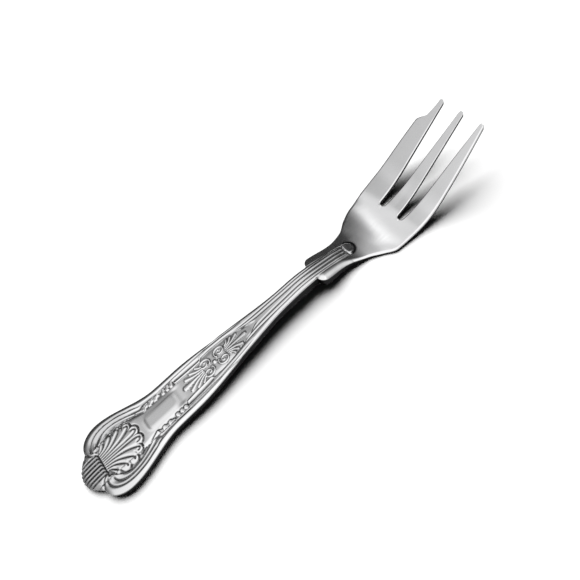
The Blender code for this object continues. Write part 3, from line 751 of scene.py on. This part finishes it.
def raise_honeysuckles(relief):
    """Two honeysuckles foot to foot, their volutes, the bead between these and the upper one's collar."""
    for points, half in LOWER_LEAVES + UPPER_LEAVES:
        relief.rib(curve_through(points, 24), LEAF_FOOT, half, LEAF_RISE, 2.4, -FIELD_DEPTH)
    for place, way in VOLUTE_PLACES:
        relief.rib(volute(place, way), VOLUTE_THREAD, 0.8 * VOLUTE_THREAD, LEAF_RISE, 2.0, -FIELD_DEPTH)
    bead = np.array([(BEAD_PLACE - 0.05, 0.0), (BEAD_PLACE + 0.05, 0.0)])
    relief.rib(bead, BEAD_RADIUS, BEAD_RADIUS, LEAF_RISE, 2.0, -FIELD_DEPTH)
    relief.rib(curve_through(COLLAR, 12), 0.34, 0.26, LEAF_RISE, 2.0, -FIELD_DEPTH)


def struck_relief(x, y):
    """All the relief on the handle's face, above or below the level of its border threads."""
    relief = Relief(x, y)
    lay_painted_shade(relief, press_field(relief))
    raise_tablet(relief)
    raise_curls(relief)
    raise_honeysuckles(relief)
    raise_shell(relief)
    press_border(relief)
    press_reeds(relief)
    press_flutes(relief)
    return relief


def cap_fall(x, y):
    """The end of the drop: a lip across the reeds' ends, then a smooth slope down to the round end."""
    lip = X_CAP + 0.1 * y ** 2
    dip = CAP_DIP * np.exp(-((x - lip + 0.25) / 0.28) ** 2)
    slope = CAP_SLOPE * smooth_step(lip + 0.3, X_DROP - 0.3, x)
    return dip + slope


def drop_ring_shade(x, y):
    """The painted shade round the foot of the drop's end, by the distance from its round outline."""
    radius = DROP_WIDTH / 2
    inward = radius - np.hypot(np.maximum(x - X_DROP + radius, 0.0), y)
    return smooth_step(X_CAP + 0.2, X_CAP + 1.2, x) * np.exp(-((inward - 0.05) / 0.55) ** 4)


def handle_painted_shade(x, y, height, distance, struck):
    """All the painted shade on the handle's top, the most of: that in what lies low, that of the struck
    relief less what is taken off, that spread on the butt, threads and tablet, and that along the cutting
    side's rim."""
    low = np.clip((blurred(height, LOW_REACH) - height - LOW_START) / LOW_RANGE, 0.0, 1.0)
    low = low * (1 - SHELL_SHADE_CUT * smooth_step(*SHELL_SHADE_CUT_ACROSS, y) * smooth_step(*SHELL_SHADE_CUT_ALONG, x))
    low = low * (1 - LEAF_SHADE_CUT * between(LEAF_STRETCH, x))
    low = np.where(x < X_CAP, low, 0.0)

    past_waist = CURL_SHADE_CUT * smooth_step(*CURL_SHADE_CUT_ACROSS, y)
    shade_cut = np.where(x > X_WAIST, past_waist, LOBE_SHADE_CUT * smooth_step(*LOBE_SHADE_CUT_ACROSS, y))
    shade_cut = np.maximum(shade_cut, PANEL_SHADE_CUT * between(PANEL_STRETCH, x))

    spread = BUTT_SIDE_SHADE * smooth_step(*BUTT_SIDE_ACROSS, y) * smooth_step(*BUTT_SIDE_ALONG, x)
    threads = smooth_step(*LOBE_ACROSS, np.abs(y)) * np.where(y > 0, 1.0, smooth_step(*LOBE_INWARD, distance))
    spread += LOBE_SHADE * threads * smooth_step(*LOBE_ALONG, x)
    by_tablet = np.exp(-((y - TABLET_SIDE + 0.1) / 0.25) ** 2)
    spread += TABLET_SIDE_SHADE * by_tablet * between(TABLET_SIDE_STRETCH, x)

    rim = smooth_step(*EDGE_INWARD, distance) * smooth_step(*EDGE_ALONG, x)
    on_handle = (y > 0) & (y < np.maximum(handle_side(x), 1e-3) + 1e-6)
    shaded = EDGE_SHADE * np.where(on_handle, rim, 0.0)
    painted_shade = np.maximum.reduce([low, struck * (1 - shade_cut), spread, shaded])
    return np.maximum(PAINTED_SHADE_MOST * painted_shade, drop_ring_shade(x, y))


def handle_top(x, y):
    """Height and painted shade of the handle, stem, neck and drop: a strip with a shallow trough each side,
    relief and a rim. Past the shoulders the strip lies on the neck's plate."""
    distance = inside_distance(x, y, handle_side, handle_side)
    side = np.maximum(handle_side(x), 1e-3)
    across = np.clip((np.abs(y) / side - TROUGH_START) / TROUGH_SHARE, 0.0, 1.0)
    trough = handle_trough(x) * (1 - np.cos(2 * math.pi * across)) / 2
    relief = struck_relief(x, y)
    stem = underside(x) + handle_thickness(x) - trough + relief.height - cap_fall(x, y)
    stem = stem - bevel_fall(distance, rim_radius(x), rim_depth(x)) - edge_fall(distance, RIM_EDGE, RIM_EDGE)
    plate = plate_top(x, y)
    above = np.where(x > X_CAP + 0.5, np.maximum(stem - plate, 0.0), stem - plate)
    on_plate = plate + above * smooth_step(0.0, 0.3, distance)
    height = np.where(x < X_SHOULDER, stem, on_plate)
    return height, handle_painted_shade(x, y, height, distance, relief.painted_shade)


def head_top(x, y):
    """Top of the bowl and the tines, whose edges are rounded along the slots too."""
    distance = np.maximum(np.minimum(slot_distance(x, y), X_TIP - x), 0.0)
    return plate_top(x, y) - edge_fall(distance, TINE_EDGE, TINE_EDGE)


def back_height(x, y):
    """The plain back: the underside's run, with rounded edges."""
    outer = np.where(y > 0, left_side(x), right_side(x)) - np.abs(y)
    in_slot = np.where(x > X_ROOT, slot_distance(x, y), outer)
    distance = np.maximum(np.minimum(outer, in_slot), 0.0)
    edge = np.where(x < X_NECK, BACK_EDGE, HEAD_EDGE)
    return underside(x) - TINE_DEEPER * smooth_step(X_BEND, X_ROOT + 4, x) + edge_fall(distance, edge, edge)


# The grid

def eased(start, end, count):
    """Places from start up to, and without, end that crowd together at the start."""
    return start + (end - start) * (1 - np.cos(np.linspace(0.0, math.pi / 2, count, endpoint=False)))


def even(start, end, gap):
    """Places a gap apart from start up to, and without, end."""
    return np.linspace(start, end, max(round((end - start) / gap), 1), endpoint=False)


def fine_places():
    """Places along the handle, neck and drop, close together over the ornament and where edges turn."""
    shoulder_end = X_SHOULDER + SHOULDER_ROUND
    return np.concatenate([
        eased(X_START, X_NOTCH, 36),
        eased(X_NOTCH, X_LOBE, 60),
        even(X_LOBE, X_RELIEF_END, 0.155),
        even(X_RELIEF_END, X_SHOULDER, 0.45),
        eased(X_SHOULDER, shoulder_end, 14),
        even(shoulder_end, X_CAP - 0.8, 0.4),
        even(X_CAP - 0.8, X_DROP + 0.5, 0.16),
        even(X_DROP + 0.5, X_HEAD, 0.4),
    ])


def head_places():
    """Places along the bowl and the tines, crowded in the slots' roots, the hollow and the tips."""
    root_end = X_ROOT + SLOT_ROOT_WIDTH / 2
    tip = X_TIP - TIP_ROUND * (1 - np.sin(np.linspace(0.0, math.pi / 2, 9)))
    return np.concatenate([
        even(X_HEAD, X_ROOT, 0.5),
        eased(X_ROOT, root_end, 12),
        even(root_end, X_CUT, 0.6),
        even(X_CUT, X_CUT + NOTCH_LENGTH, 0.2),
        even(X_CUT + NOTCH_LENGTH, X_TIP - TIP_ROUND, 0.5),
        tip,
    ])


def bands(places):
    """The two sides of each of the three bands across the fork, which become the three tines."""
    joined = smooth_step(X_DROP, X_DROP + 9, places)
    left = left_side(places)
    right = right_side(places)
    left_parting = left / 3 + (TINE_PITCH / 2 - left / 3) * joined
    right_parting = right / 3 + (TINE_PITCH / 2 - right / 3) * joined
    gap = slot_half(places)
    return [
        (left, left_parting + gap),
        (left_parting - gap, gap - right_parting),
        (-right_parting - gap, -right),
    ]


def grid_between(places, sides, shares):
    """A grid of x and y with a column at each share of the way from a band's first side to its second."""
    y = sides[0][:, None] * (1 - shares) + sides[1][:, None] * shares
    return np.repeat(places[:, None], len(shares), axis=1), y


def fine_shares(band):
    """Shares across a band of the handle, crowded to the rim in the two outer bands."""
    even_shares = np.linspace(0.0, 1.0, FINE_COLUMNS + 1)
    if band == 0:
        return even_shares ** EDGE_CROWDING
    if band == 2:
        return 1 - (1 - even_shares) ** EDGE_CROWDING
    return even_shares


def edge_shares(count):
    """Shares across a tine or the back, crowded to both edges."""
    even_shares = np.linspace(0.0, 1.0, count + 1)
    return 0.2 * even_shares + 0.8 * (0.5 - 0.5 * np.cos(math.pi * even_shares))


class Surface:
    """Points and faces of one mesh, gathered from grids."""

    def __init__(self):
        self.points = []
        self.shades = []
        self.faces = []
        self.count = 0

    def add_points(self, points, shade=None):
        """Take an array of points with any leading shape, and give their numbers in that shape."""
        shape = points.shape[:-1]
        size = int(np.prod(shape))
        self.points.append(points.reshape(-1, 3))
        self.shades.append(np.zeros(size) if shade is None else shade.reshape(-1))
        numbers = np.arange(self.count, self.count + size).reshape(shape)
        self.count += size
        return numbers

    def add_quads(self, numbers, turned=False):
        """Join a grid of numbered points by quads: rows run along x, and columns to the right."""
        quads = np.stack([numbers[:-1, :-1], numbers[:-1, 1:], numbers[1:, 1:], numbers[1:, :-1]], axis=-1)
        quads = quads.reshape(-1, 4)
        self.faces.extend((quads[:, ::-1] if turned else quads).tolist())

    def mesh(self, name):
        """A mesh in metres, with equal points joined and the painted shade mask kept as an attribute."""
        points = np.concatenate(self.points)
        shades = np.concatenate(self.shades)
        keys = np.round(points * 1e5).astype(np.int64)
        _, first, joined = np.unique(keys, axis=0, return_index=True, return_inverse=True)
        joined = joined.reshape(-1)
        places = (points[first] - [X_TIP / 2, 0.0, 0.0]) * MM
        faces = [joined[face].tolist() for face in self.faces]
        mesh = bpy.data.meshes.new(name)
        mesh.from_pydata(places.tolist(), [], faces)
        # the painted shade on each point is kept as an attribute
        mask = mesh.attributes.new("painted_shade_mask", "FLOAT", "POINT")
        mask.data.foreach_set("value", shades[first].astype(np.float32))
        mesh.validate()
        mesh.update()
        mesh.shade_smooth()
        mesh.set_sharp_from_angle(angle=math.radians(SHARP_ANGLE))
        return mesh


def blurred(values, reach):
    """Mean over the neighbours up to a number of rows and columns away, with the edges repeated."""
    for axis in (0, 1):
        padded = np.pad(values, [(reach, reach) if axis == k else (0, 0) for k in (0, 1)], mode="edge")
        size = values.shape[axis]
        parts = [np.take(padded, range(start, start + size), axis) for start in range(2 * reach + 1)]
        values = sum(parts) / len(parts)
    return values


def xyz(x, y, z):
    """Points from three arrays of one shape."""
    return np.stack([x, y, z], axis=-1)


def add_wall(surface, top, bottom, turned):
    """A wall between two edges, with full painted shade but for the rows that it shares with the top and the
    back.
    Gives the numbers of its points."""
    s = WALL_SHARES[None, :, None]
    points = top[:, None, :] * (1 - s) + bottom[:, None, :] * s
    # the whole wall gets full painted shade
    numbers = surface.add_points(points, np.ones(points.shape[:-1]))
    surface.add_quads(numbers, turned)
    return numbers


def fork_mesh():
    """The whole fork: fine top, plain head, back, outer walls, slot walls, and closed ends."""
    surface = Surface()
    fine = fine_places()
    head = head_places()
    places = np.concatenate([fine, head])

    # The handle's top, three bands side by side as one grid
    sides = bands(fine)
    columns = [grid_between(fine, sides[band], fine_shares(band)) for band in range(3)]
    x = np.concatenate([columns[0][0], columns[1][0][:, 1:], columns[2][0][:, 1:]], axis=1)
    y = np.concatenate([columns[0][1], columns[1][1][:, 1:], columns[2][1][:, 1:]], axis=1)
    # heights, and the painted shade on each point
    z, painted_shade = handle_top(x, y)
    fine_top = xyz(x, y, z)
    fine_numbers = surface.add_points(fine_top, painted_shade)
    surface.add_quads(fine_numbers)

    # The head's top, one grid for each tine's band
    head_tops = []
    head_numbers = []
    for band_sides in bands(head):
        x, y = grid_between(head, band_sides, edge_shares(HEAD_COLUMNS))
        top = xyz(x, y, head_top(x, y))
        numbers = surface.add_points(top)
        surface.add_quads(numbers)
        head_tops.append(top)
        head_numbers.append(numbers)

    # A strip that takes three fine columns to each of the head's columns
    first_head = np.concatenate([head_numbers[0][0], head_numbers[1][0][1:], head_numbers[2][0][1:]])
    last_fine = fine_numbers[-1]
    strip = [last_fine[:-3:3], last_fine[1:-2:3], last_fine[2:-1:3], last_fine[3::3]]
    strip += [first_head[1:], first_head[:-1]]
    surface.faces.extend(np.stack(strip, axis=-1).tolist())

    # The back
    backs = []
    back_numbers = []
    for band_sides in bands(places):
        x, y = grid_between(places, band_sides, edge_shares(BACK_COLUMNS))
        back = xyz(x, y, back_height(x, y))
        numbers = surface.add_points(back)
        surface.add_quads(numbers, turned=True)
        backs.append(back)
        back_numbers.append(numbers)

    # Outer walls, and the four walls of the slots
    left_top = np.concatenate([fine_top[:, 0], head_tops[0][:, 0]])
    right_top = np.concatenate([fine_top[:, -1], head_tops[2][:, -1]])
    left_wall = add_wall(surface, left_top, backs[0][:, 0], True)
    right_wall = add_wall(surface, right_top, backs[2][:, -1], False)
    slot_start = int(np.argmin(np.abs(head - X_ROOT)))
    walls = {}
    for band, column in ((0, -1), (1, 0), (1, -1), (2, 0)):
        top = head_tops[band][slot_start:, column]
        bottom = backs[band][len(fine) + slot_start:, column]
        walls[band, column] = add_wall(surface, top, bottom, column == 0)

    # The butt's end, and a cap on each tip
    butt = list(fine_numbers[0]) + list(right_wall[0, 1:-1])
    for band in (2, 1, 0):
        butt += list(back_numbers[band][0][::-1][1 if band != 2 else 0:])
    butt += list(left_wall[0, 1:-1][::-1])
    surface.faces.append([int(number) for number in butt][::-1])
    tip_left = (left_wall, walls[1, 0], walls[2, 0])
    tip_right = (walls[0, -1], walls[1, -1], right_wall)
    for band in range(3):
        cap = list(head_numbers[band][-1]) + list(tip_right[band][-1, 1:-1])
        cap += list(back_numbers[band][-1][::-1]) + list(tip_left[band][-1, 1:-1][::-1])
        surface.faces.append([int(number) for number in cap])
    return surface.mesh("struck_fork")


# Materials

def add_node(tree, kind, **values):
    """A node of a kind, with the properties and the input values that are given by name."""
    node = tree.nodes.new(kind)
    for name, value in values.items():
        if name in node.inputs:
            node.inputs[name].default_value = value
        else:
            setattr(node, name, value)
    return node


def ramp(tree, value, start, end, low, high, kind="SMOOTHSTEP"):
    """The output of a node that takes a value's run from start to end to a run from low to high."""
    node = add_node(tree, "ShaderNodeMapRange", interpolation_type=kind)
    for name, limit in zip(("From Min", "From Max", "To Min", "To Max"), (start, end, low, high)):
        node.inputs[name].default_value = limit
    tree.links.new(value, node.inputs["Value"])
    return node.outputs["Result"]


def worked_out(tree, operation, *values):
    """The output of a math node, whose inputs are plain numbers or the outputs of other nodes."""
    node = add_node(tree, "ShaderNodeMath", operation=operation)
    for socket, value in zip(node.inputs, values):
        if isinstance(value, float):
            socket.default_value = value
        else:
            tree.links.new(value, socket)
    return node.outputs["Value"]


def colour_mix(tree, factor, first, second):
    """The output of a node that mixes two colours, each a plain one or the output of another node."""
    node = add_node(tree, "ShaderNodeMix", data_type="RGBA")
    tree.links.new(factor, node.inputs["Factor"])
    sockets = [socket for socket in node.inputs if socket.type == "RGBA"]
    for socket, value in zip(sockets, (first, second)):
        if isinstance(value, tuple):
            socket.default_value = value
        else:
            tree.links.new(value, socket)
    return next(socket for socket in node.outputs if socket.type == "RGBA")


def polished_steel():
    """Polished stainless steel: fine lines along the fork, slight clouds in its tone, and painted shade, a
    dark colour where the mask says, in the struck recesses, on the walls and along the shaded rim."""
    material = bpy.data.materials.new("stainless_steel")
    material.use_nodes = True
    tree = material.node_tree
    shader = tree.nodes["Principled BSDF"]
    shader.inputs["Metallic"].default_value = 1.0
    place = add_node(tree, "ShaderNodeTexCoord")
    stretch = add_node(tree, "ShaderNodeMapping", Scale=LINE_SCALE)
    tree.links.new(place.outputs["Object"], stretch.inputs["Vector"])
    lines = add_node(tree, "ShaderNodeTexNoise", Scale=1.0, Detail=3.0, Roughness=0.6)
    tree.links.new(stretch.outputs["Vector"], lines.inputs["Vector"])
    cloud = add_node(tree, "ShaderNodeTexNoise", Scale=CLOUD_SCALE, Detail=4.0, Roughness=0.55)
    tree.links.new(place.outputs["Object"], cloud.inputs["Vector"])
    painted_shade_mask = add_node(tree, "ShaderNodeAttribute", attribute_name="painted_shade_mask")

    bare = colour_mix(tree, cloud.outputs["Fac"], STEEL_DARK, STEEL_LIGHT)
    # the dark painted shade, mixed in by the mask
    with_painted_shade = colour_mix(tree, painted_shade_mask.outputs["Fac"], bare, PAINTED_SHADE_COLOUR)
    tree.links.new(with_painted_shade, shader.inputs["Base Color"])

    polish = ramp(tree, lines.outputs["Fac"], 0.0, 1.0, LEAST_ROUGHNESS, MOST_ROUGHNESS, "LINEAR")
    rough = worked_out(tree, "MULTIPLY_ADD", painted_shade_mask.outputs["Fac"], PAINTED_SHADE_ROUGHNESS, polish)
    tree.links.new(rough, shader.inputs["Roughness"])

    bump = add_node(tree, "ShaderNodeBump", Strength=BUMP_STRENGTH, Distance=BUMP_HEIGHT)
    tree.links.new(lines.outputs["Fac"], bump.inputs["Height"])
    tree.links.new(bump.outputs["Normal"], shader.inputs["Normal"])
    return material


def table_white():
    """The plain white table: lit by the lamp near the fork, and plain white farther out, where the camera
    and the steel see it. Light that has already left a dull surface gets nothing back from it."""
    material = bpy.data.materials.new("table_white")
    material.use_nodes = True
    tree = material.node_tree
    shader = tree.nodes["Principled BSDF"]
    shader.inputs["Roughness"].default_value = 1.0
    shader.inputs["Specular IOR Level"].default_value = 0.0
    shader.inputs["Emission Color"].default_value = (1.0, 1.0, 1.0, 1.0)
    path = add_node(tree, "ShaderNodeLightPath")
    place = add_node(tree, "ShaderNodeTexCoord")
    away = add_node(tree, "ShaderNodeVectorMath", operation="LENGTH")
    tree.links.new(place.outputs["Object"], away.inputs[0])

    first_touch = worked_out(tree, "LESS_THAN", path.outputs["Diffuse Depth"], 0.5)
    lit = ramp(tree, away.outputs["Value"], TABLE_LIT, TABLE_PLAIN, TABLE_COLOUR, 0.0)
    white = worked_out(tree, "MULTIPLY", first_touch, lit)
    tree.links.new(white, shader.inputs["Base Color"])

    far = ramp(tree, away.outputs["Value"], TABLE_LIT, TABLE_PLAIN, 0.0, 1.0)
    seen = worked_out(tree, "ADD", path.outputs["Is Camera Ray"], path.outputs["Is Glossy Ray"])
    glow = worked_out(tree, "MULTIPLY", seen, far)
    tree.links.new(glow, shader.inputs["Emission Strength"])
    return material


# The studio

def add_object(name, data):
    """A new object in the scene for a mesh, a lamp or a camera."""
    obj = bpy.data.objects.new(name, data)
    bpy.context.scene.collection.objects.link(obj)
    return obj


def add_table():
    """A flat white table, level with the fork's lowest points."""
    half = TABLE_SIZE / 2
    mesh = bpy.data.meshes.new("table")
    corners = [(-half, -half, 0.0), (half, -half, 0.0), (half, half, 0.0), (-half, half, 0.0)]
    mesh.from_pydata(corners, [], [(0, 1, 2, 3)])
    mesh.materials.append(table_white())
    table = add_object("table", mesh)


def add_lamp():
    """A large soft lamp on the cutting tine's side, which lays the shadow on the table."""
    data = bpy.data.lights.new("soft_lamp", "AREA")
    data.shape = "RECTANGLE"
    data.size = LAMP_LENGTH
    data.size_y = LAMP_WIDTH
    data.energy = LAMP_POWER
    lamp = add_object("soft_lamp", data)
    rise = math.radians(LAMP_HEIGHT_ANGLE)
    turn = math.radians(LAMP_TURN)
    way = Vector((math.cos(turn) * math.cos(rise), math.sin(turn) * math.cos(rise), math.sin(rise)))
    lamp.location = way * LAMP_DISTANCE
    lamp.rotation_euler = way.to_track_quat("Z", "Y").to_euler()
    lamp.visible_glossy = False


def add_room():
    """The room that the steel mirrors: bright on one side and dark on the other, with softboxes above. The
    camera sees plain white, and dull surfaces get a little even light."""
    world = bpy.data.worlds.new("room")
    bpy.context.scene.world = world
    world.use_nodes = True
    world.cycles.sampling_method = "NONE"
    tree = world.node_tree
    tree.nodes.clear()
    place = add_node(tree, "ShaderNodeTexCoord")

    def facing(side, start, full, low, high):
        """Light by the cosine between a way and a side: low up to start, and high from full on."""
        dot = add_node(tree, "ShaderNodeVectorMath", operation="DOT_PRODUCT")
        dot.inputs[1].default_value = Vector(side).normalized()
        tree.links.new(place.outputs["Generated"], dot.inputs[0])
        return ramp(tree, dot.outputs["Value"], start, full, low, high)

    mirrored = facing(BRIGHT_SIDE, BRIGHT_START, BRIGHT_FULL, ROOM_DARK, BRIGHT_LIGHT)
    for side, edge, core, light in SOFTBOXES:
        panel = facing(side, math.cos(math.radians(edge)), math.cos(math.radians(core)), 0.0, light)
        mirrored = worked_out(tree, "ADD", mirrored, panel)

    path = add_node(tree, "ShaderNodeLightPath")
    direct = worked_out(tree, "LESS_THAN", path.outputs["Diffuse Depth"], 0.5)
    shone = worked_out(tree, "MULTIPLY", path.outputs["Is Glossy Ray"], direct)
    seen = add_node(tree, "ShaderNodeMix", data_type="FLOAT", A=AMBIENT)
    tree.links.new(shone, seen.inputs["Factor"])
    tree.links.new(mirrored, seen.inputs["B"])
    shown = add_node(tree, "ShaderNodeMix", data_type="FLOAT", B=1.0)
    tree.links.new(path.outputs["Is Camera Ray"], shown.inputs["Factor"])
    tree.links.new(seen.outputs["Result"], shown.inputs["A"])
    light = add_node(tree, "ShaderNodeBackground", Color=(1.0, 1.0, 1.0, 1.0))
    tree.links.new(shown.outputs["Result"], light.inputs["Strength"])
    output = add_node(tree, "ShaderNodeOutputWorld")
    tree.links.new(light.outputs["Background"], output.inputs["Surface"])


def add_camera():
    """The camera at the photograph's place, turned about its own axis."""
    data = bpy.data.cameras.new("camera")
    data.sensor_width = CAMERA_SENSOR
    data.lens = CAMERA_LENS
    data.clip_start = CAMERA_NEAR
    camera = add_object("camera", data)
    place = Vector(CAMERA_PLACE)
    forward = (Vector(CAMERA_AIM) - place).normalized()
    level = forward.cross(Vector((0.0, 0.0, 1.0))).normalized()
    above = level.cross(forward)
    roll = math.radians(CAMERA_ROLL)
    right = level * math.cos(roll) + above * math.sin(roll)
    up = right.cross(forward)
    turned = Matrix((right, up, -forward)).transposed().to_4x4()
    camera.matrix_world = Matrix.Translation(place) @ turned
    bpy.context.scene.camera = camera


def main():
    """The fork in place of its plain solid, then the table, the light and the camera."""
    fork = add_object("struck_fork", fork_mesh())
    fork.data.materials.append(polished_steel())
    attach(fork, "root")
    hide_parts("fork")
    add_table()
    add_lamp()
    add_room()
    add_camera()
    bpy.context.scene.view_settings.view_transform = "Standard"


main()
